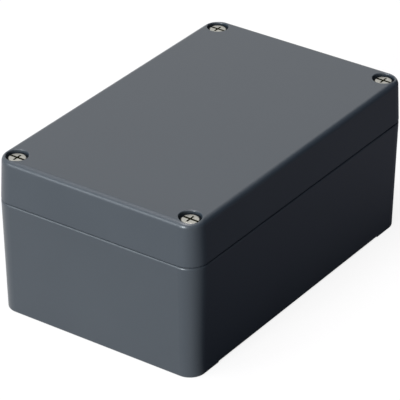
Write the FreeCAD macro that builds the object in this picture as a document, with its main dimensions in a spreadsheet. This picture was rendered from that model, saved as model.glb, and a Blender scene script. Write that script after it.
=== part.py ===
import FreeCAD, Part
import os

import Sketcher

# Die cast aluminium box with a screwed lid, in millimetres.
# The origin is under the middle of the box, on the plane that its feet stand on.
# X runs along the long side, Y along the short side and Z up.

SIZES = {
    # outside of the casting
    "box_length": 125.0,
    "box_width": 80.0,
    "corner_radius": 6.7,
    "rim_height": 41.4,
    "lid_height": 15.4,
    "base_draft": 1.4,
    "lid_draft": 2.55,
    "lid_edge_radius": 1.9,
    "rim_edge_radius": 1.0,
    "skirt_edge_radius": 0.35,
    "bottom_edge_radius": 0.5,
    "foot_length": 14.2,
    "foot_height": 0.7,
    "foot_step_angle": 35.0,
    # walls and corner columns
    "wall": 3.4,
    "floor_thickness": 2.9,
    "lid_thickness": 2.6,
    "inner_draft": 1.0,
    "column_length": 13.0,
    "column_width": 20.6,
    "cavity_radius": 4.0,
    "column_radius": 3.0,
    "floor_radius": 1.5,
    # seal between base and lid
    "tongue_width": 1.6,
    "tongue_height": 1.5,
    "groove_clearance": 0.5,
    "groove_depth": 3.6,
    "groove_rib": 1.4,
    "gasket_bite": 0.6,
    # lid screws and what keeps them in the lid
    "screw_inset": 6.0,
    "head_diameter": 6.1,
    "head_height": 2.6,
    "head_below_lid": 0.9,
    "head_edge_radius": 0.5,
    "head_clearance": 0.7,
    "counterbore_edge_radius": 0.35,
    "web_thickness": 3.0,
    "neck_diameter": 3.2,
    "thread_diameter": 4.0,
    "thread_pitch": 0.7,
    "screw_turns": 11.0,
    "thread_chamfer": 0.5,
    "thread_clearance": 0.05,
    "web_clearance": 0.2,
    "tapped_depth": 11.0,
    "ring_diameter": 7.0,
    "ring_thickness": 0.8,
    "ring_clearance": 0.05,
    "slot_width": 0.9,
    "slot_depth": 1.1,
    "cross_length": 3.8,
    "cross_width": 0.7,
    "cross_depth": 1.7,
    "cross_draft": 8.0,
    # wall fixing holes, reached with the lid off
    "fixing_pitch": 52.0,
    "fixing_hole": 4.5,
    "fixing_well": 8.2,
    "fixing_seat": 6.0,
    "lid_core": 6.0,
    "lid_core_depth": 8.0,
    # bosses on the floor for a board or a plate
    "boss_pitch_length": 84.0,
    "boss_pitch_width": 56.0,
    "boss_diameter": 7.6,
    "boss_height": 5.0,
    "boss_draft": 2.0,
    "boss_hole": 3.3,
    "boss_hole_depth": 6.0,
    # earth terminal
    "earth_inset": 9.4,
    "earth_boss_diameter": 10.0,
    "earth_boss_height": 6.0,
    "earth_thread": 4.0,
    "earth_tapped_depth": 7.0,
    "earth_screw_length": 8.0,
    "earth_head_diameter": 8.0,
    "earth_head_height": 2.4,
    "earth_slot_width": 1.0,
    "earth_slot_depth": 1.2,
    "washer_hole": 4.3,
    "clamp_side": 8.6,
    "clamp_thickness": 1.0,
    "clamp_corner": 1.0,
    "lock_diameter": 8.0,
    "lock_thickness": 0.5,
    "lock_teeth": 10.0,
    "lock_notch_width": 0.9,
    "lock_notch_depth": 0.9,
    # marks that the ejector pins leave
    "ejector_diameter": 5.0,
    "ejector_depth": 0.2,
    "ejector_pitch": 50.0,
}

# Places and sizes that follow from the sizes above.
PLACES = {
    "half_length": "Sizes.box_length / 2",
    "half_width": "Sizes.box_width / 2",
    "lid_top": "Sizes.rim_height + Sizes.lid_height",
    # inner outline of the base at the rim
    "cavity_x": "Sizes.box_length / 2 - Sizes.wall",
    "cavity_y": "Sizes.box_width / 2 - Sizes.wall",
    "column_x": "Sizes.box_length / 2 - Sizes.column_length",
    "column_y": "Sizes.box_width / 2 - Sizes.column_width",
    # seal
    "tongue_top": "Sizes.rim_height + Sizes.tongue_height",
    "groove_outer": "Sizes.tongue_width + Sizes.groove_clearance",
    "groove_inner": "-Sizes.groove_clearance",
    "rib_inner": "-(Sizes.groove_clearance + Sizes.groove_rib)",
    "gasket_height": "Sizes.groove_depth - Sizes.tongue_height + Sizes.gasket_bite",
    "gasket_bottom": "Sizes.rim_height + Sizes.tongue_height - Sizes.gasket_bite",
    # lid screws
    "screw_x": "Sizes.box_length / 2 - Sizes.screw_inset",
    "screw_y": "Sizes.box_width / 2 - Sizes.screw_inset",
    "screw_travel": "Sizes.screw_turns * Sizes.thread_pitch",
    "head_top": "Sizes.rim_height + Sizes.lid_height - Sizes.head_below_lid",
    "counterbore": "Sizes.head_diameter + 2 * Sizes.head_clearance",
    "counterbore_depth": "Sizes.head_below_lid + Sizes.head_height",
    "web_hole": "Sizes.thread_diameter + 2 * Sizes.web_clearance",
    "tapped_hole": "Sizes.thread_diameter + 2 * Sizes.thread_clearance",
    "ring_pocket": "Sizes.ring_diameter + 2 * Sizes.ring_clearance",
    "ring_hole": "Sizes.neck_diameter + 2 * Sizes.ring_clearance",
    # wall fixing holes and floor bosses
    "fixing_y": "Sizes.fixing_pitch / 2",
    "boss_x": "Sizes.boss_pitch_length / 2",
    "boss_y": "Sizes.boss_pitch_width / 2",
    "ejector_x": "Sizes.ejector_pitch / 2",
    # earth terminal
    "earth_x": "Sizes.box_length / 2 - Sizes.earth_inset",
}

# Heights that build on other places.
HEIGHTS = {
    "head_seat": "Places.head_top - Sizes.head_height",
    "web_bottom": "Places.head_top - Sizes.head_height - Sizes.web_thickness",
    "ring_bottom": "Places.head_top - Sizes.head_height - Sizes.web_thickness"
    " - Places.screw_travel - Sizes.ring_thickness",
    "thread_end": "Sizes.rim_height - Places.screw_travel",
    "floor_top": "Sizes.floor_thickness + Sizes.foot_height",
    "lid_inside": "Places.lid_top - Sizes.lid_thickness",
    "earth_boss_top": "Sizes.floor_thickness + Sizes.foot_height + Sizes.earth_boss_height",
}

# Distance below which two heights count as one.
TOUCH = 1e-4

doc = FreeCAD.newDocument("die_cast_box")


def fill_sheet(name, cells):
    """A sheet with one named cell for each size or formula."""
    sheet = doc.addObject("Spreadsheet::Sheet", name)
    for row, (alias, content) in enumerate(cells.items(), start=1):
        text = f"={content}" if isinstance(content, str) else str(content)
        sheet.set(f"A{row}", alias)
        sheet.set(f"B{row}", text)
        sheet.setAlias(f"B{row}", alias)
    doc.recompute()
    return sheet


sizes = fill_sheet("Sizes", SIZES)
fill_sheet("Places", PLACES)
fill_sheet("Heights", HEIGHTS)


def value(formula):
    """The number that a formula gives now."""
    return float(sizes.evalExpression(str(formula)))


def new_body(label):
    body = doc.addObject("PartDesign::Body", label)
    body.Label = label
    return body


def origin_item(body, role):
    """One of the body's own planes or axes."""
    return next(item for item in body.Origin.OriginFeatures if item.Role == role)


def new_sketch(body, name, height="0", role="XY_Plane"):
    """A sketch on one of the body's own planes, lifted to a height."""
    sketch = body.newObject("Sketcher::SketchObject", name)
    sketch.AttachmentSupport = (origin_item(body, role), "")
    sketch.MapMode = "FlatFace"
    sketch.setExpression("AttachmentOffset.Base.z", height)
    return sketch


def bind(sketch, constraint, name, formula):
    """Add a constraint whose size is a formula."""
    number = sketch.addConstraint(constraint)
    sketch.renameConstraint(number, name)
    sketch.setExpression(f"Constraints.{name}", formula)


def locate(sketch, geometry, position, axis, formula):
    """Hold one coordinate of a point, measured from the sketch's origin."""
    place = value(formula)
    kind = f"Distance{axis}"
    name = f"g{geometry}p{position}{axis}"
    if abs(place) < TOUCH:
        line = -2 if axis == "X" else -1
        sketch.addConstraint(Sketcher.Constraint("PointOnObject", geometry, position, line))
    elif place > 0:
        rule = Sketcher.Constraint(kind, -1, 1, geometry, position, place)
        bind(sketch, rule, name, formula)
    else:
        rule = Sketcher.Constraint(kind, geometry, position, -1, 1, -place)
        bind(sketch, rule, name, f"-({formula})")


def draw_rounded(sketch, corners):
    """A closed outline of level and upright lines with a round at every corner.

    The corners are (x, y, radius) formulas in counterclockwise order.
    """
    count = len(corners)
    points = [FreeCAD.Vector(value(x), value(y), 0) for x, y, _ in corners]
    radii = [value(radius) for _, _, radius in corners]
    first = sketch.GeometryCount
    starts, ends, centres, turns = [], [], [], []
    for i in range(count):
        into = points[i] - points[i - 1]
        away = points[(i + 1) % count] - points[i]
        into.normalize()
        away.normalize()
        ends.append(points[i] - into * radii[i])
        starts.append(points[i] + away * radii[i])
        centres.append(points[i] - into * radii[i] + away * radii[i])
        turns.append(into.cross(away).z > 0)
    for i in range(count):
        sketch.addGeometry(Part.LineSegment(starts[i], ends[(i + 1) % count]), False)
    for i in range(count):
        circle = Part.Circle(centres[i], FreeCAD.Vector(0, 0, 1), radii[i])
        low, high = (ends[i], starts[i]) if turns[i] else (starts[i], ends[i])
        arc = Part.ArcOfCircle(circle, circle.parameter(low), circle.parameter(high))
        sketch.addGeometry(arc, False)
    for i in range(count):
        line = first + i
        before = first + (i - 1) % count
        arc = first + count + i
        near, far = (1, 2) if turns[i] else (2, 1)
        sketch.addConstraint(Sketcher.Constraint("Tangent", before, 2, arc, near))
        sketch.addConstraint(Sketcher.Constraint("Tangent", line, 1, arc, far))
        radius = Sketcher.Constraint("Radius", arc, radii[i])
        bind(sketch, radius, f"g{arc}radius", corners[i][2])
    for i in range(count):
        line = first + i
        along = points[(i + 1) % count] - points[i]
        level = abs(along.x) > abs(along.y)
        sketch.addConstraint(Sketcher.Constraint("Horizontal" if level else "Vertical", line))
        axis, formula = ("Y", corners[i][1]) if level else ("X", corners[i][0])
        locate(sketch, line, 1, axis, formula)


def draw_polygon(sketch, points):
    """A closed outline of straight lines through points given as formulas."""
    count = len(points)
    places = [FreeCAD.Vector(value(x), value(y), 0) for x, y in points]
    first = sketch.GeometryCount
    for i in range(count):
        line = Part.LineSegment(places[i], places[(i + 1) % count])
        sketch.addGeometry(line, False)
    for i in range(count):
        after = first + (i + 1) % count
        rule = Sketcher.Constraint("Coincident", first + i, 2, after, 1)
        sketch.addConstraint(rule)
        locate(sketch, first + i, 1, "X", points[i][0])
        locate(sketch, first + i, 1, "Y", points[i][1])


def draw_circles(sketch, centres, diameter):
    """Circles of one diameter at centres given as formulas."""
    for x, y in centres:
        middle = FreeCAD.Vector(value(x), value(y), 0)
        circle = Part.Circle(middle, FreeCAD.Vector(0, 0, 1), value(diameter) / 2)
        number = sketch.addGeometry(circle, False)
        locate(sketch, number, 3, "X", x)
        locate(sketch, number, 3, "Y", y)
        rule = Sketcher.Constraint("Diameter", number, value(diameter))
        bind(sketch, rule, f"g{number}diameter", diameter)


def draw_rectangle(sketch, half_x, half_y):
    """A plain rectangle about the sketch's origin."""
    draw_polygon(
        sketch,
        [
            (f"-({half_x})", f"-({half_y})"),
            (half_x, f"-({half_y})"),
            (half_x, half_y),
            (f"-({half_x})", half_y),
        ],
    )


def extrude(body, kind, name, sketch, length, upward, draft="0"):
    """A pad or a pocket from a sketch, up or down, with its draft."""
    feature = body.newObject(f"PartDesign::{kind}", name)
    feature.Profile = sketch
    feature.Type = "Length"
    feature.setExpression("Length", length)
    feature.setExpression("TaperAngle", draft)
    feature.Reversed = upward != (kind == "Pad")
    sketch.Visibility = False
    doc.recompute()
    return feature


def pad(body, name, sketch, length, upward=True, draft="0"):
    return extrude(body, "Pad", name, sketch, length, upward, draft)


def pocket(body, name, sketch, depth, upward=False, draft="0"):
    """A pocket, which has to take metal away."""
    before = body.Shape.Volume
    feature = extrude(body, "Pocket", name, sketch, depth, upward, draft)
    if body.Shape.Volume >= before:
        raise RuntimeError(f"{body.Label}: {name} cuts nothing")
    return feature


def drill(body, name, sketch, diameter, depth=None, counterbore=None):
    """Holes down from a sketch's circles, blind or through, plain or counterbored."""
    before = body.Shape.Volume
    hole = body.newObject("PartDesign::Hole", name)
    hole.Profile = sketch
    hole.setExpression("Diameter", diameter)
    if depth is None:
        hole.DepthType = "ThroughAll"
    else:
        hole.DepthType = "Dimension"
        hole.setExpression("Depth", depth)
        hole.DrillPoint = "Angled"
    if counterbore:
        hole.HoleCutType = "Counterbore"
        hole.HoleCutCustomValues = True
        hole.setExpression("HoleCutDiameter", counterbore[0])
        hole.setExpression("HoleCutDepth", counterbore[1])
    sketch.Visibility = False
    doc.recompute()
    if body.Shape.Volume >= before:
        raise RuntimeError(f"{body.Label}: {name} cuts nothing")
    return hole


def is_circle(edge, diameter):
    """Whether an edge is round with a diameter given as a formula."""
    curve = edge.Curve
    return isinstance(curve, Part.Circle) and abs(2 * curve.Radius - value(diameter)) < TOUCH


def round_edges_at(body, name, height, radius, diameter=None):
    """Round the body's edges that lie level at a height: all, or only circles of one diameter."""
    level = value(height)
    edges = []
    for number, edge in enumerate(body.Shape.Edges, start=1):
        box = edge.BoundBox
        if abs(box.ZMin - level) > TOUCH or abs(box.ZMax - level) > TOUCH:
            continue
        if diameter is None or is_circle(edge, diameter):
            edges.append(f"Edge{number}")
    before = body.Tip
    fillet = body.newObject("PartDesign::Fillet", name)
    fillet.Base = (before, edges)
    fillet.setExpression("Radius", radius)
    doc.recompute()
    return fillet


def outer_outline():
    """The box's outside at the joint between base and lid."""
    radius = "Sizes.corner_radius"
    signs = [(-1, -1), (1, -1), (1, 1), (-1, 1)]
    return [(f"{x} * Places.half_length", f"{y} * Places.half_width", radius) for x, y in signs]


def cavity_outline(offset="0"):
    """The inside of the base at its rim, which bends in round the four corner columns.

    A positive offset moves the outline outward, into the wall.
    """
    end = f"(Places.cavity_x + {offset})"
    side = f"(Places.cavity_y + {offset})"
    column_x = f"(Places.column_x + {offset})"
    column_y = f"(Places.column_y + {offset})"
    inside = f"Sizes.cavity_radius + {offset}"
    bend = f"Sizes.column_radius - ({offset})"
    quarter = [
        (end, column_y, inside),
        (column_x, column_y, bend),
        (column_x, side, inside),
    ]
    mirrored = quarter[::-1]
    return (
        [(f"{x}", f"{y}", r) for x, y, r in quarter]
        + [(f"-{x}", f"{y}", r) for x, y, r in mirrored]
        + [(f"-{x}", f"-{y}", r) for x, y, r in quarter]
        + [(f"{x}", f"-{y}", r) for x, y, r in mirrored]
    )


def four_places(x, y):
    """The same place in each quarter of the box."""
    return [(f"{i} * {x}", f"{j} * {y}") for i, j in [(1, 1), (-1, 1), (-1, -1), (1, -1)]]


SCREWS = four_places("Places.screw_x", "Places.screw_y")
FIXINGS = four_places("Places.screw_x", "Places.fixing_y")
BOSSES = four_places("Places.boss_x", "Places.boss_y")
EARTH = [("Places.earth_x", "0")]
EJECTORS = [("Places.ejector_x", "0"), ("-Places.ejector_x", "0")]


def cut_between_feet(body):
    """Raise the underside between the two foot strips, with slanted steps."""
    step = "Sizes.foot_height * tan(Sizes.foot_step_angle * 1 deg)"
    low = "Places.half_length - Sizes.foot_length"
    high = f"{low} - {step}"
    sketch = new_sketch(body, "between_feet", role="XZ_Plane")
    corners = [
        (f"-({low})", "0"),
        (low, "0"),
        (high, "Sizes.foot_height"),
        (f"-({high})", "Sizes.foot_height"),
    ]
    draw_polygon(sketch, corners)
    before = body.Shape.Volume
    relief = body.newObject("PartDesign::Pocket", "underside_relief")
    relief.Profile = sketch
    relief.Type = "ThroughAll"
    relief.Midplane = True
    sketch.Visibility = False
    doc.recompute()
    if body.Shape.Volume >= before:
        raise RuntimeError("the underside isn't relieved")


def make_base():
    """The cast base: drafted shell, feet, corner columns, seal tongue and bosses."""
    body = new_body("base")
    rim = "Sizes.rim_height"

    outside = new_sketch(body, "base_outside", rim)
    draw_rounded(outside, outer_outline())
    pad(body, "base_block", outside, rim, upward=False, draft="-Sizes.base_draft")
    round_edges_at(body, "rim_edge", rim, "Sizes.rim_edge_radius")
    round_edges_at(body, "bottom_edge", "0", "Sizes.bottom_edge_radius")
    cut_between_feet(body)

    tongue = new_sketch(body, "tongue_outline", rim)
    draw_rounded(tongue, cavity_outline("Sizes.tongue_width"))
    pad(body, "tongue", tongue, "Sizes.tongue_height")

    cavity = new_sketch(body, "cavity_outline", "Places.tongue_top")
    draw_rounded(cavity, cavity_outline())
    depth = "Places.tongue_top - Heights.floor_top"
    pocket(body, "cavity", cavity, depth, draft="-Sizes.inner_draft")
    round_edges_at(body, "floor_round", "Heights.floor_top", "Sizes.floor_radius")

    for name, places, diameter, height in (
        ("plate_bosses", BOSSES, "Sizes.boss_diameter", "Sizes.boss_height"),
        ("earth_boss", EARTH, "Sizes.earth_boss_diameter", "Sizes.earth_boss_height"),
    ):
        sketch = new_sketch(body, f"{name}_outline", "Heights.floor_top")
        draw_circles(sketch, places, diameter)
        pad(body, name, sketch, height, draft="-Sizes.boss_draft")

    boss_top = "Heights.floor_top + Sizes.boss_height"
    pilots = new_sketch(body, "boss_hole_places", boss_top)
    draw_circles(pilots, BOSSES, "Sizes.boss_hole")
    drill(body, "boss_holes", pilots, "Sizes.boss_hole", "Sizes.boss_hole_depth")

    earth = new_sketch(body, "earth_hole_place", "Heights.earth_boss_top")
    draw_circles(earth, EARTH, "Sizes.earth_thread")
    diameter = "Sizes.earth_thread + 2 * Sizes.thread_clearance"
    drill(body, "earth_hole", earth, diameter, "Sizes.earth_tapped_depth")

    tapped = new_sketch(body, "screw_hole_places", rim)
    draw_circles(tapped, SCREWS, "Places.tapped_hole")
    drill(body, "screw_holes", tapped, "Places.tapped_hole", "Sizes.tapped_depth")

    fixing = new_sketch(body, "fixing_hole_places", rim)
    draw_circles(fixing, FIXINGS, "Sizes.fixing_hole")
    well = ("Sizes.fixing_well", "Sizes.rim_height - Sizes.fixing_seat")
    drill(body, "fixing_holes", fixing, "Sizes.fixing_hole", counterbore=well)

    marks = new_sketch(body, "ejector_places", "Heights.floor_top")
    draw_circles(marks, EJECTORS, "Sizes.ejector_diameter")
    pocket(body, "ejector_marks", marks, "Sizes.ejector_depth")
    return body


def make_lid():
    """The cast lid: drafted skirt, rounded top, seal groove and screw columns."""
    body = new_body("lid")
    rim = "Sizes.rim_height"

    outside = new_sketch(body, "lid_outside", rim)
    draw_rounded(outside, outer_outline())
    pad(body, "lid_block", outside, "Sizes.lid_height", draft="-Sizes.lid_draft")
    round_edges_at(body, "lid_edge", "Places.lid_top", "Sizes.lid_edge_radius")
    round_edges_at(body, "skirt_edge", rim, "Sizes.skirt_edge_radius")

    hollow = new_sketch(body, "lid_hollow_outline", rim)
    draw_rounded(hollow, cavity_outline("Places.rib_inner"))
    depth = "Sizes.lid_height - Sizes.lid_thickness"
    pocket(body, "lid_hollow", hollow, depth, True, "-Sizes.inner_draft")
    round_edges_at(body, "hollow_round", "Heights.lid_inside", "Sizes.floor_radius")

    groove = new_sketch(body, "groove_outlines", rim)
    draw_rounded(groove, cavity_outline("Places.groove_outer"))
    draw_rounded(groove, cavity_outline("Places.groove_inner"))
    pocket(body, "seal_groove", groove, "Sizes.groove_depth", True)

    heads = new_sketch(body, "screw_places", "Places.lid_top")
    draw_circles(heads, SCREWS, "Places.web_hole")
    counterbore = ("Places.counterbore", "Places.counterbore_depth")
    drill(body, "screw_holes", heads, "Places.web_hole", counterbore=counterbore)
    rim_radius = "Sizes.counterbore_edge_radius"
    round_edges_at(body, "counterbore_edge", "Places.lid_top", rim_radius, "Places.counterbore")

    rings = new_sketch(body, "ring_pocket_places", rim)
    draw_circles(rings, SCREWS, "Places.ring_pocket")
    pocket(body, "ring_pockets", rings, "Heights.web_bottom - Sizes.rim_height", True)

    cores = new_sketch(body, "core_places", rim)
    draw_circles(cores, FIXINGS, "Sizes.lid_core")
    pocket(body, "cores", cores, "Sizes.lid_core_depth", True, "-Sizes.inner_draft")

    marks = new_sketch(body, "ejector_places", "Heights.lid_inside")
    draw_circles(marks, EJECTORS, "Sizes.ejector_diameter")
    pocket(body, "ejector_marks", marks, "Sizes.ejector_depth", True)
    return body


def make_gasket():
    """The seal in the lid's groove, with the dent that the base's tongue presses."""
    body = new_body("gasket")
    ring = new_sketch(body, "gasket_outlines", "Places.gasket_bottom")
    draw_rounded(ring, cavity_outline("Places.groove_outer"))
    draw_rounded(ring, cavity_outline("Places.groove_inner"))
    pad(body, "gasket_ring", ring, "Places.gasket_height")
    dent = new_sketch(body, "dent_outlines", "Places.gasket_bottom")
    draw_rounded(dent, cavity_outline("Sizes.tongue_width"))
    draw_rounded(dent, cavity_outline())
    pocket(body, "tongue_dent", dent, "Sizes.gasket_bite", True)
    return body


def place_at(body, x, y):
    """Stand a piece, drawn about its own axis, at a place in the box."""
    body.setExpression("Placement.Base.x", x)
    body.setExpression("Placement.Base.y", y)


def turn_profile(body, name, points):
    """A turned piece: a profile in the XZ plane, revolved about Z."""
    sketch = new_sketch(body, f"{name}_profile", role="XZ_Plane")
    draw_polygon(sketch, points)
    turned = body.newObject("PartDesign::Revolution", name)
    turned.Profile = sketch
    turned.ReferenceAxis = (sketch, ["V_Axis"])
    turned.Angle = 360
    sketch.Visibility = False
    doc.recompute()
    return turned


def make_lid_screw(number, x, y):
    """A captive lid screw: cheese head, thin neck and threaded end."""
    body = new_body(f"lid_screw_{number}")
    head = "Sizes.head_diameter / 2"
    neck = "Sizes.neck_diameter / 2"
    thread = "Sizes.thread_diameter / 2"
    tip = "Sizes.thread_diameter / 2 - Sizes.thread_chamfer"
    profile = [
        ("0", "Heights.thread_end"),
        (tip, "Heights.thread_end"),
        (thread, "Heights.thread_end + Sizes.thread_chamfer"),
        (thread, "Heights.ring_bottom"),
        (neck, "Heights.ring_bottom"),
        (neck, "Heights.head_seat"),
        (head, "Heights.head_seat"),
        (head, "Places.head_top"),
        ("0", "Places.head_top"),
    ]
    turn_profile(body, "screw_blank", profile)
    round_edges_at(body, "head_edge", "Places.head_top", "Sizes.head_edge_radius")
    slot = new_sketch(body, "slot_outline", "Places.head_top")
    draw_rectangle(slot, "Sizes.slot_width / 2", "Sizes.head_diameter")
    pocket(body, "slot", slot, "Sizes.slot_depth")
    cross = new_sketch(body, "cross_outline", "Places.head_top")
    draw_rectangle(cross, "Sizes.cross_length / 2", "Sizes.cross_width / 2")
    pocket(body, "cross", cross, "Sizes.cross_depth", draft="-Sizes.cross_draft")
    place_at(body, x, y)
    return body


def make_ring(number, x, y):
    """The ring on a lid screw's neck, which keeps the loosened screw in the lid."""
    body = new_body(f"screw_ring_{number}")
    sketch = new_sketch(body, "ring_outlines", "Heights.ring_bottom")
    draw_circles(sketch, [("0", "0")], "Sizes.ring_diameter")
    draw_circles(sketch, [("0", "0")], "Places.ring_hole")
    pad(body, "ring", sketch, "Sizes.ring_thickness")
    place_at(body, x, y)
    return body


def make_lock_washer():
    """The toothed washer on the earth boss."""
    body = new_body("earth_lock_washer")
    sketch = new_sketch(body, "lock_outlines", "Heights.earth_boss_top")
    draw_circles(sketch, [("0", "0")], "Sizes.lock_diameter")
    draw_circles(sketch, [("0", "0")], "Sizes.washer_hole")
    pad(body, "lock_disc", sketch, "Sizes.lock_thickness")
    notch = new_sketch(body, "notch_outline", "Heights.earth_boss_top")
    inner = "Sizes.lock_diameter / 2 - Sizes.lock_notch_depth"
    outer = "Sizes.lock_diameter"
    half = "Sizes.lock_notch_width / 2"
    corners = [(inner, f"-{half}"), (outer, f"-{half}"), (outer, half), (inner, half)]
    draw_polygon(notch, corners)
    cut = pocket(body, "notch", notch, "Sizes.lock_thickness", True)
    teeth = body.newObject("PartDesign::PolarPattern", "teeth")
    teeth.Originals = [cut]
    teeth.Axis = (origin_item(body, "Z_Axis"), [""])
    teeth.Angle = 360
    teeth.setExpression("Occurrences", "Sizes.lock_teeth")
    body.Tip = teeth
    doc.recompute()
    place_at(body, *EARTH[0])
    return body


def make_clamp_washer():
    """The square washer that clamps the earth wire."""
    body = new_body("earth_clamp_washer")
    height = "Heights.earth_boss_top + Sizes.lock_thickness"
    half = "Sizes.clamp_side / 2"
    corner = "Sizes.clamp_corner"
    sketch = new_sketch(body, "clamp_outline", height)
    square = [
        (f"-{half}", f"-{half}", corner),
        (half, f"-{half}", corner),
        (half, half, corner),
        (f"-{half}", half, corner),
    ]
    draw_rounded(sketch, square)
    draw_circles(sketch, [("0", "0")], "Sizes.washer_hole")
    pad(body, "clamp_plate", sketch, "Sizes.clamp_thickness")
    place_at(body, *EARTH[0])
    return body


def make_earth_screw():
    """The earth terminal's screw, with a flat cheese head and a slot."""
    body = new_body("earth_screw")
    seat = "Heights.earth_boss_top + Sizes.lock_thickness + Sizes.clamp_thickness"
    end = f"{seat} - Sizes.earth_screw_length"
    top = f"{seat} + Sizes.earth_head_height"
    shank = "Sizes.earth_thread / 2"
    head = "Sizes.earth_head_diameter / 2"
    profile = [
        ("0", end),
        (f"{shank} - Sizes.thread_chamfer", end),
        (shank, f"{end} + Sizes.thread_chamfer"),
        (shank, seat),
        (head, seat),
        (head, top),
        ("0", top),
    ]
    turn_profile(body, "earth_blank", profile)
    round_edges_at(body, "earth_head_edge", top, "Sizes.head_edge_radius")
    slot = new_sketch(body, "earth_slot_outline", top)
    draw_rectangle(slot, "Sizes.earth_head_diameter", "Sizes.earth_slot_width / 2")
    pocket(body, "earth_slot", slot, "Sizes.earth_slot_depth")
    place_at(body, *EARTH[0])
    return body


def make_pieces():
    pieces = [make_base(), make_lid(), make_gasket()]
    for number, (x, y) in enumerate(SCREWS, start=1):
        pieces.append(make_lid_screw(number, x, y))
        pieces.append(make_ring(number, x, y))
    pieces += [make_lock_washer(), make_clamp_washer(), make_earth_screw()]
    doc.recompute()
    return pieces


def check_document(pieces):
    """Stop before anything is written if a feature failed or a solid is unsound."""
    for item in doc.Objects:
        if "Invalid" in item.State or "Error" in item.State:
            raise RuntimeError(f"{item.Label}: {item.State}")
    for body in pieces:
        shape = body.Shape
        if shape.isNull() or not shape.isValid() or len(shape.Solids) != 1:
            raise RuntimeError(f"{body.Label} isn't one sound solid")


pieces = make_pieces()
check_document(pieces)
os.makedirs("parts", exist_ok=True)
for body in pieces:
    body.Shape.exportStep(f"parts/{body.Label}.step")
    box = body.Shape.BoundBox
    print(
        f"{body.Label}: {body.Shape.Volume:.1f} mm3,"
        f" x {box.XMin:.2f} {box.XMax:.2f}, y {box.YMin:.2f} {box.YMax:.2f},"
        f" z {box.ZMin:.2f} {box.ZMax:.2f}"
    )
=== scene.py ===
from math import cos, pi, radians, sin, tau

import bmesh
import bpy
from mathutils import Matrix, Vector


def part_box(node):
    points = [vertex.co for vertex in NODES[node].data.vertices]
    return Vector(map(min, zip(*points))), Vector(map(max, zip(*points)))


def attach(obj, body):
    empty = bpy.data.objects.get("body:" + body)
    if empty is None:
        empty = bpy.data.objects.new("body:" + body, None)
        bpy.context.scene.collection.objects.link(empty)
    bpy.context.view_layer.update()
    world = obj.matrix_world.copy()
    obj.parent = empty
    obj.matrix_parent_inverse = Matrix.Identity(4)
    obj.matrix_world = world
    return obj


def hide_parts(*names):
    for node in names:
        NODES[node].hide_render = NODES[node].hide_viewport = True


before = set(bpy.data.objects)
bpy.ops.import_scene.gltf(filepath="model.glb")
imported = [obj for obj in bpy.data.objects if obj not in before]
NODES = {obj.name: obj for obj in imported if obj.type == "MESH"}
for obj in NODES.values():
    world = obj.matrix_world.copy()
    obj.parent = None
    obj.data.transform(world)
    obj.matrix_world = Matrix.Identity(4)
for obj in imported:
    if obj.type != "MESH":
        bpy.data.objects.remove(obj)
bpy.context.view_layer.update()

MM = 0.001
CORNERS = {1: (1, 1), 2: (-1, 1), 3: (-1, -1), 4: (1, -1)}
SCREW_X = 56.5 * MM
SCREW_Y = 34.0 * MM
EARTH_X = 53.1 * MM
HEAD_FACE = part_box("lid_screw_1")[1].z
EARTH_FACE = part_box("earth_screw")[1].z

# Screw heads: where the flat face ends, and the depth of the slot.
HEAD_RIM = 2.85 * MM
EARTH_RIM = 3.8 * MM
SLOT_DEPTH = 1.8 * MM
TOOL_MARKS = 0.11 * MM

# Lid screw below its ring. The steps are where the root and the crest start and end within a pitch.
RING_BOTTOM = 41.8 * MM
NECK_RADIUS = 1.6 * MM
THREAD_ROOT = 1.57 * MM
THREAD_RADIUS = 2.0 * MM
TIP_CHAMFER = 0.5 * MM
PITCH = 0.7 * MM
THREAD_STEPS = (0.0, 0.18, 0.44, 0.56)
STEP_RADII = (THREAD_ROOT, THREAD_ROOT, THREAD_RADIUS, THREAD_RADIUS)
THREAD_AROUND = 36
SHARP_ANGLE = radians(32)
FLAT_FACE = 0.9995
PACKED_WELD = 1e-6
THREAD_WELD = 1e-7
CUT_ABOVE_RING = 1e-5

# Nearly all of a noise texture's values lie between these two.
NOISE_LOW, NOISE_HIGH = 0.3, 0.7

# Floor, and the shade cloth beside the box.
FLOOR_SIDE = 6.0
FLOOR_LEVEL = -0.05 * MM
SHADE_MIDDLE = Vector((-0.0575, -0.0345, 0.0002))
SHADE_REACH = 0.5
SHADE_HEIGHT = 0.55
SHADE_STEPS = 24
SHADE_CLEAR, SHADE_DENSE, SHADE_END = radians(-145), radians(-62), radians(4)
SHADE_DARK_UNTIL, SHADE_PALE_FROM = 7.5 * MM, 177.5 * MM
SHADE_FOLD = 20 * MM

LAMP_AIM = Vector((0, 0, 30 * MM))
CAMERA_LENS = 252.78
CAMERA_SENSOR = 36.0
CAMERA_PLACE = (-0.66816, -0.46665, 0.49408)
CAMERA_FORWARD = Vector((0.71162, 0.49909, -0.5006))

scene = bpy.context.scene
scene.view_settings.view_transform = "Standard"


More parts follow.
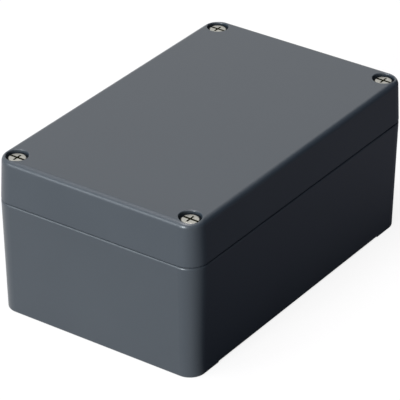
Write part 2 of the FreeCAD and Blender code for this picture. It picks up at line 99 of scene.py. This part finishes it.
class Shader:
    """A node tree with short calls for adding and linking nodes."""

    def __init__(self, tree):
        self.tree = tree
        tree.nodes.clear()

    def add(self, kind, **values):
        node = self.tree.nodes.new(kind)
        for name, value in values.items():
            setattr(node, name, value)
        return node

    def link(self, source, target):
        self.tree.links.new(source, target)

    def closure(self, kind, **inputs):
        """Add a surface or background node, set its inputs and return its output."""
        node = self.add(kind)
        for name, value in inputs.items():
            node.inputs[name].default_value = value
        return node.outputs[0]

    def mix_closures(self, factor, first, second):
        node = self.add("ShaderNodeMixShader")
        for socket, source in zip(node.inputs, (factor, first, second)):
            self.link(source, socket)
        return node.outputs[0]

    def output(self, kind, surface):
        self.link(surface, self.add(kind).inputs["Surface"])

    def math(self, operation, first, second=None, third=None):
        node = self.add("ShaderNodeMath", operation=operation)
        for socket, value in zip(node.inputs, (first, second, third)):
            if value is None:
                continue
            if isinstance(value, (int, float)):
                socket.default_value = value
            else:
                self.link(value, socket)
        return node.outputs[0]

    def place(self):
        return self.add("ShaderNodeTexCoord").outputs["Object"]

    def parts(self, vector):
        node = self.add("ShaderNodeSeparateXYZ")
        self.link(vector, node.inputs["Vector"])
        return node.outputs["X"], node.outputs["Y"], node.outputs["Z"]

    def noise(self, vector, scale, detail=2.0, roughness=0.5):
        node = self.add("ShaderNodeTexNoise")
        node.inputs["Scale"].default_value = scale
        node.inputs["Detail"].default_value = detail
        node.inputs["Roughness"].default_value = roughness
        self.link(vector, node.inputs["Vector"])
        return node.outputs["Fac"]

    def spread(self, value, low, high, to_low=0.0, to_high=1.0):
        """Map a value from one range to another, held at the ends."""
        node = self.add("ShaderNodeMapRange")
        for name, number in (
            ("From Min", low),
            ("From Max", high),
            ("To Min", to_low),
            ("To Max", to_high),
        ):
            node.inputs[name].default_value = number
        self.link(value, node.inputs["Value"])
        return node.outputs["Result"]

    def spread_noise(self, noise, to_low=0.0, to_high=1.0):
        return self.spread(noise, NOISE_LOW, NOISE_HIGH, to_low, to_high)

    def blend(self, factor, first, second):
        """Blend two colours, each given as numbers or as a socket."""
        node = self.add("ShaderNodeMix", data_type="RGBA")
        first_colour, second_colour, result = node.inputs[6], node.inputs[7], node.outputs[2]
        self.link(factor, node.inputs[0])
        for socket, colour in ((first_colour, first), (second_colour, second)):
            if isinstance(colour, tuple):
                socket.default_value = (*colour, 1)
            else:
                self.link(colour, socket)
        return result

    def bump(self, height, strength, distance, before=None):
        node = self.add("ShaderNodeBump")
        node.inputs["Strength"].default_value = strength
        node.inputs["Distance"].default_value = distance
        self.link(height, node.inputs["Height"])
        if before is not None:
            self.link(before, node.inputs["Normal"])
        return node.outputs["Normal"]


def new_material(name, metallic=0.0, roughness=0.5, specular=0.5):
    """A material with one principled surface."""
    material = bpy.data.materials.new(name)
    material.use_nodes = True
    shader = Shader(material.node_tree)
    surface = shader.add("ShaderNodeBsdfPrincipled")
    surface.inputs["Metallic"].default_value = metallic
    surface.inputs["Roughness"].default_value = roughness
    surface.inputs["Specular IOR Level"].default_value = specular
    shader.output("ShaderNodeOutputMaterial", surface.outputs["BSDF"])
    return material, shader, surface


def painted_casting():
    """Dark grey satin paint on die cast metal: a faint orange peel over the casting's slow waves."""
    material, shader, surface = new_material("painted_casting", specular=0.615)
    dark, light = (0.026, 0.036, 0.047), (0.030, 0.040, 0.051)
    place = shader.place()
    cloud = shader.noise(place, scale=45.0, detail=3.0, roughness=0.55)
    grain = shader.noise(place, scale=900.0)
    tone = shader.math("ADD", shader.math("MULTIPLY", cloud, 0.7), shader.math("MULTIPLY", grain, 0.3))
    shader.link(shader.blend(shader.spread_noise(tone), dark, light), surface.inputs["Base Color"])
    shader.link(shader.spread_noise(cloud, to_low=0.33, to_high=0.37), surface.inputs["Roughness"])
    slow = shader.noise(place, scale=60.0, detail=1.0)
    waves = shader.bump(slow, strength=0.08, distance=0.2 * MM)
    peel = shader.bump(grain, strength=0.12, distance=0.03 * MM, before=waves)
    shader.link(peel, surface.inputs["Normal"])
    return material


def seal_rubber():
    """Black extruded rubber with a fine dull skin."""
    material, shader, surface = new_material("seal_rubber", specular=0.35)
    dark, light = (0.018, 0.018, 0.019), (0.032, 0.032, 0.033)
    skin = shader.noise(shader.place(), scale=700.0, detail=4.0, roughness=0.6)
    shader.link(shader.blend(skin, dark, light), surface.inputs["Base Color"])
    shader.link(shader.spread(skin, 0.2, 0.8, to_low=0.62, to_high=0.78), surface.inputs["Roughness"])
    shader.link(shader.bump(skin, strength=0.25, distance=0.05 * MM), surface.inputs["Normal"])
    return material


def ring_plastic():
    """Natural nylon of the retaining rings."""
    material, shader, surface = new_material("ring_plastic", roughness=0.45)
    dark, light = (0.70, 0.68, 0.61), (0.78, 0.77, 0.72)
    cloud = shader.noise(shader.place(), scale=400.0, detail=3.0)
    shader.link(shader.blend(cloud, dark, light), surface.inputs["Base Color"])
    shader.link(shader.spread_noise(cloud, to_low=0.40, to_high=0.52), surface.inputs["Roughness"])
    shader.link(shader.bump(cloud, strength=0.15, distance=0.03 * MM), surface.inputs["Normal"])
    return material


def turned_steel(name, x, y, face, rim, dark, light, roughness):
    """Metal turned about an upright axis at (x, y), with fine rings and slight stains.

    Inside the rim, the slots that go down from the head's face carry painted shade: dull, dark and without
    metal reflection.
    """
    material, shader, surface = new_material(name, metallic=1.0, roughness=roughness)
    # Colour, roughness and specular of the painted shade in the slots.
    slot_shade, slot_shade_roughness, slot_shade_specular = (0.032, 0.032, 0.012), 0.8, 0.1
    place = shader.place()
    shift = shader.add("ShaderNodeMapping")
    shift.inputs["Location"].default_value = (-x, -y, 0)
    shader.link(place, shift.inputs["Vector"])
    along_x, along_y, up = shader.parts(shift.outputs["Vector"])
    square = shader.math("MULTIPLY", along_x, along_x)
    reach = shader.math("SQRT", shader.math("MULTIPLY_ADD", along_y, along_y, square))
    rings = shader.math("SINE", shader.math("MULTIPLY", reach, tau / TOOL_MARKS))
    stain = shader.noise(place, scale=900.0, detail=3.0, roughness=0.6)
    metal = shader.blend(shader.spread_noise(stain), dark, light)
    # Mask of the painted shade: below the head's face, above the slot floor and inside the rim.
    below = shader.spread(up, face - 0.03 * MM, face - 0.12 * MM)
    above = shader.spread(up, face - SLOT_DEPTH - 0.1 * MM, face - SLOT_DEPTH)
    inside = shader.spread(reach, rim, rim - 0.1 * MM)
    painted_slot_shade = shader.math("MULTIPLY", shader.math("MULTIPLY", below, above), inside)
    shader.link(shader.blend(painted_slot_shade, metal, slot_shade), surface.inputs["Base Color"])
    shader.link(shader.spread(painted_slot_shade, 0.0, 1.0, to_low=1.0, to_high=0.0), surface.inputs["Metallic"])
    polish = shader.spread_noise(stain, to_low=roughness - 0.04, to_high=roughness + 0.06)
    dull = shader.math("MAXIMUM", polish, shader.math("MULTIPLY", painted_slot_shade, slot_shade_roughness))
    shader.link(dull, surface.inputs["Roughness"])
    sheen = shader.spread(painted_slot_shade, 0.0, 1.0, to_low=0.5, to_high=slot_shade_specular)
    shader.link(sheen, surface.inputs["Specular IOR Level"])
    height = shader.math("MULTIPLY_ADD", rings, 0.5, stain)
    shader.link(shader.bump(height, strength=0.10, distance=0.01 * MM), surface.inputs["Normal"])
    return material


def add_thread(mesh, x, y, low, high):
    """A right-hand thread between two heights, as strips that climb one pitch in each turn."""
    steps = len(THREAD_STEPS)
    turns = int((high - low) / PITCH) + 3
    grid = []
    for row in range(steps * turns):
        line = []
        for i in range(THREAD_AROUND):
            z = low - PITCH + (row // steps + THREAD_STEPS[row % steps] + i / THREAD_AROUND) * PITCH
            if z <= low:
                radius, z = THREAD_RADIUS - TIP_CHAMFER, low
            elif z >= high:
                radius, z = NECK_RADIUS, high
            else:
                # A 45 degree chamfer at the tip and a 45 degree run-out at the neck.
                chamfer = THREAD_RADIUS - TIP_CHAMFER + z - low
                radius = min(STEP_RADII[row % steps], chamfer, NECK_RADIUS + high - z)
            angle = tau * i / THREAD_AROUND
            line.append(mesh.verts.new((x + radius * cos(angle), y + radius * sin(angle), z)))
        grid.append(line)
    for row in range(steps * (turns - 1) - 1):
        for i in range(THREAD_AROUND):
            if i + 1 < THREAD_AROUND:
                corners = (grid[row][i], grid[row][i + 1], grid[row + 1][i + 1], grid[row + 1][i])
            else:
                # The end of a turn joins the start of the strip that lies one pitch higher.
                above = row + steps
                corners = (grid[row][i], grid[above][0], grid[above + 1][0], grid[row + 1][i])
            mesh.faces.new(corners)
    added = [vertex for line in grid for vertex in line]
    bmesh.ops.remove_doubles(mesh, verts=added, dist=THREAD_WELD)
    for z in (low, high):
        open_edges = [e for e in mesh.edges if e.is_boundary]
        ring = [e for e in open_edges if all(abs(v.co.z - z) < THREAD_WELD for v in e.verts)]
        if ring:
            bmesh.ops.contextual_create(mesh, geom=ring)
    loose = [v for v in mesh.verts if not v.link_faces]
    bmesh.ops.delete(mesh, geom=loose, context="VERTS")


def make_screw(number, material):
    """A lid screw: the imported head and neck, with a cut thread below the retaining ring."""
    i, j = CORNERS[number]
    name = f"lid_screw_{number}"
    low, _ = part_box(name)
    mesh = bmesh.new()
    mesh.from_mesh(NODES[name].data)
    bmesh.ops.remove_doubles(mesh, verts=mesh.verts, dist=PACKED_WELD)
    every = mesh.verts[:] + mesh.edges[:] + mesh.faces[:]
    cut = (0, 0, RING_BOTTOM + CUT_ABOVE_RING)
    bmesh.ops.bisect_plane(mesh, geom=every, plane_co=cut, plane_no=(0, 0, 1), clear_inner=True)
    rim = [e for e in mesh.edges if e.is_boundary]
    bmesh.ops.contextual_create(mesh, geom=rim)
    add_thread(mesh, i * SCREW_X, j * SCREW_Y, low.z, RING_BOTTOM)
    bmesh.ops.recalc_face_normals(mesh, faces=mesh.faces)
    data = bpy.data.meshes.new(f"{name}_turned")
    mesh.to_mesh(data)
    mesh.free()
    screw = bpy.data.objects.new(f"{name}_turned", data)
    scene.collection.objects.link(screw)
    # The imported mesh's stored normals don't fit the welded one, and bend the light on the flat head.
    stored = data.attributes.get("custom_normal")
    if stored:
        data.attributes.remove(stored)
    for face in data.polygons:
        face.use_smooth = abs(face.normal.z) < FLAT_FACE
    data.set_sharp_from_angle(angle=SHARP_ANGLE)
    data.materials.append(material)
    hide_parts(name)
    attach(screw, f"screw_{number}")


def dress(node, material):
    """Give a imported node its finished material."""
    piece = NODES[node]
    piece.data.materials.clear()
    piece.data.materials.append(material)


def dress_pieces():
    """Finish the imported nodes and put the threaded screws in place."""
    paint = painted_casting()
    dress("base", paint)
    dress("lid", paint)
    dress("gasket", seal_rubber())
    nylon = ring_plastic()
    for number, (i, j) in CORNERS.items():
        dress(f"screw_ring_{number}", nylon)
        steel = turned_steel(
            f"screw_steel_{number}",
            i * SCREW_X,
            j * SCREW_Y,
            HEAD_FACE,
            HEAD_RIM,
            dark=(0.375, 0.37, 0.333),
            light=(0.46, 0.455, 0.415),
            roughness=0.36,
        )
        make_screw(number, steel)
    zinc = turned_steel(
        "zinc_plate",
        EARTH_X,
        0.0,
        EARTH_FACE,
        EARTH_RIM,
        dark=(0.56, 0.56, 0.54),
        light=(0.68, 0.68, 0.65),
        roughness=0.28,
    )
    for node in ("earth_screw", "earth_lock_washer", "earth_clamp_washer"):
        dress(node, zinc)


def add_stage_object(name, points, faces, material):
    """An object of the studio, which is no part of the box."""
    data = bpy.data.meshes.new(name)
    data.from_pydata(points, [], faces)
    data.materials.append(material)
    thing = bpy.data.objects.new(name, data)
    scene.collection.objects.link(thing)
    return thing


def seen_directly(shader):
    """1 for rays from the camera, a mirror or glass, and 0 for the rest."""
    path = shader.add("ShaderNodeLightPath")
    seen = shader.math("MAXIMUM", path.outputs["Is Camera Ray"], path.outputs["Is Glossy Ray"])
    return shader.math("MAXIMUM", seen, path.outputs["Is Transmission Ray"])


def make_floor():
    """A pale plain floor that keeps a soft shadow of the box."""
    material = bpy.data.materials.new("floor_white")
    material.use_nodes = True
    shader = Shader(material.node_tree)
    bright = shader.closure("ShaderNodeEmission", Color=(1, 1, 1, 1), Strength=0.84)
    matt = shader.closure("ShaderNodeBsdfDiffuse", Color=(0.18, 0.18, 0.18, 1))
    both = shader.add("ShaderNodeAddShader")
    shader.link(bright, both.inputs[0])
    shader.link(matt, both.inputs[1])
    dim = shader.closure("ShaderNodeBsdfDiffuse", Color=(0.04, 0.04, 0.04, 1))
    choice = shader.mix_closures(seen_directly(shader), dim, both.outputs[0])
    shader.output("ShaderNodeOutputMaterial", choice)
    ends = (-FLOOR_SIDE, FLOOR_SIDE)
    points = [(x, y, FLOOR_LEVEL) for x in ends for y in ends]
    floor = add_stage_object("floor", points, [(0, 2, 3, 1)], material)


def shade_cloth():
    """Dark cloth that is paler where it lies far along the box, and darkest where it hangs.

    Towards the plain short side it thins out from dense weave to nothing.
    """
    material = bpy.data.materials.new("shade_cloth")
    material.use_nodes = True
    shader = Shader(material.node_tree)
    off = shader.add("ShaderNodeVectorMath", operation="SUBTRACT")
    shader.link(shader.place(), off.inputs[0])
    off.inputs[1].default_value = SHADE_MIDDLE
    along_x, along_y, up = shader.parts(off.outputs[0])
    paler = shader.spread(along_x, SHADE_DARK_UNTIL, SHADE_PALE_FROM)
    lying = shader.blend(paler, (0.054, 0.060, 0.080), (0.152, 0.156, 0.180))
    colour = shader.blend(shader.spread(up, 0.0, SHADE_FOLD), lying, (0.024, 0.026, 0.040))
    matt = shader.add("ShaderNodeBsdfDiffuse")
    shader.link(colour, matt.inputs["Color"])
    clear = shader.closure("ShaderNodeBsdfTransparent")
    around = shader.math("ARCTAN2", along_y, along_x)
    dense = shader.spread(around, SHADE_CLEAR, SHADE_DENSE)
    gauze = shader.mix_closures(dense, clear, matt.outputs[0])
    shader.output("ShaderNodeOutputMaterial", gauze)
    return material


def make_shade():
    """A cloth that lies beside the box's shaded long side and hangs up behind, out of the camera's sight."""
    points = [tuple(SHADE_MIDDLE)]
    faces = []
    for i in range(SHADE_STEPS + 1):
        angle = SHADE_CLEAR + (SHADE_END - SHADE_CLEAR) * i / SHADE_STEPS
        foot = SHADE_MIDDLE + Vector((cos(angle), sin(angle), 0)) * SHADE_REACH
        points += [tuple(foot), tuple(foot + Vector((0, 0, SHADE_HEIGHT)))]
    for i in range(SHADE_STEPS):
        low = 1 + 2 * i
        faces += [(0, low, low + 2), (low, low + 2, low + 3, low + 1)]
    shade = add_stage_object("shade", points, faces, shade_cloth())
    shade.visible_camera = False
    shade.visible_shadow = False


def make_world():
    """White where it is seen, and a faint cool fill for the shading."""
    world = bpy.data.worlds.new("studio")
    scene.world = world
    world.use_nodes = True
    shader = Shader(world.node_tree)
    fill = shader.closure("ShaderNodeBackground", Color=(0.80, 0.90, 1.0, 1), Strength=0.085)
    white = shader.closure("ShaderNodeBackground", Color=(1, 1, 1, 1), Strength=1.0)
    choice = shader.mix_closures(seen_directly(shader), fill, white)
    shader.output("ShaderNodeOutputWorld", choice)


def make_lamp(name, direction, distance, size, level, colour):
    """A soft lamp. Its level is the brightness of a white surface that faces it."""
    data = bpy.data.lights.new(name, "AREA")
    data.shape = "RECTANGLE"
    data.size, data.size_y = size
    data.energy = level * pi * pi * distance * distance
    data.color = colour
    lamp = bpy.data.objects.new(name, data)
    scene.collection.objects.link(lamp)
    toward = Vector(direction).normalized()
    lamp.location = LAMP_AIM + toward * distance
    lamp.rotation_euler = (-toward).to_track_quat("-Z", "Y").to_euler()


def make_camera():
    """The photograph's view, from above the corner between the plain short side and a long side."""
    data = bpy.data.cameras.new("camera")
    data.lens = CAMERA_LENS
    data.sensor_width = CAMERA_SENSOR
    camera = bpy.data.objects.new("camera", data)
    scene.collection.objects.link(camera)
    camera.location = CAMERA_PLACE
    camera.rotation_euler = CAMERA_FORWARD.to_track_quat("-Z", "Y").to_euler()
    scene.camera = camera


dress_pieces()
make_floor()
make_shade()
make_world()
make_lamp("key", (-0.965, 0.02, 0.18), 1.4, (0.34, 0.34), level=0.84, colour=(0.88, 0.95, 1.0))
make_lamp("side", (-0.83, 0.52, 0.25), 1.4, (0.5, 0.5), level=0.20, colour=(0.90, 0.96, 1.0))
make_lamp("overhead", (-0.25, 0.0, 0.965), 1.3, (1.0, 1.0), level=1.07, colour=(1.0, 0.96, 0.975))
make_lamp("back", (-0.05, 0.5, 0.86), 1.4, (1.2, 0.5), level=0.06, colour=(1.0, 0.99, 1.0))
make_camera()
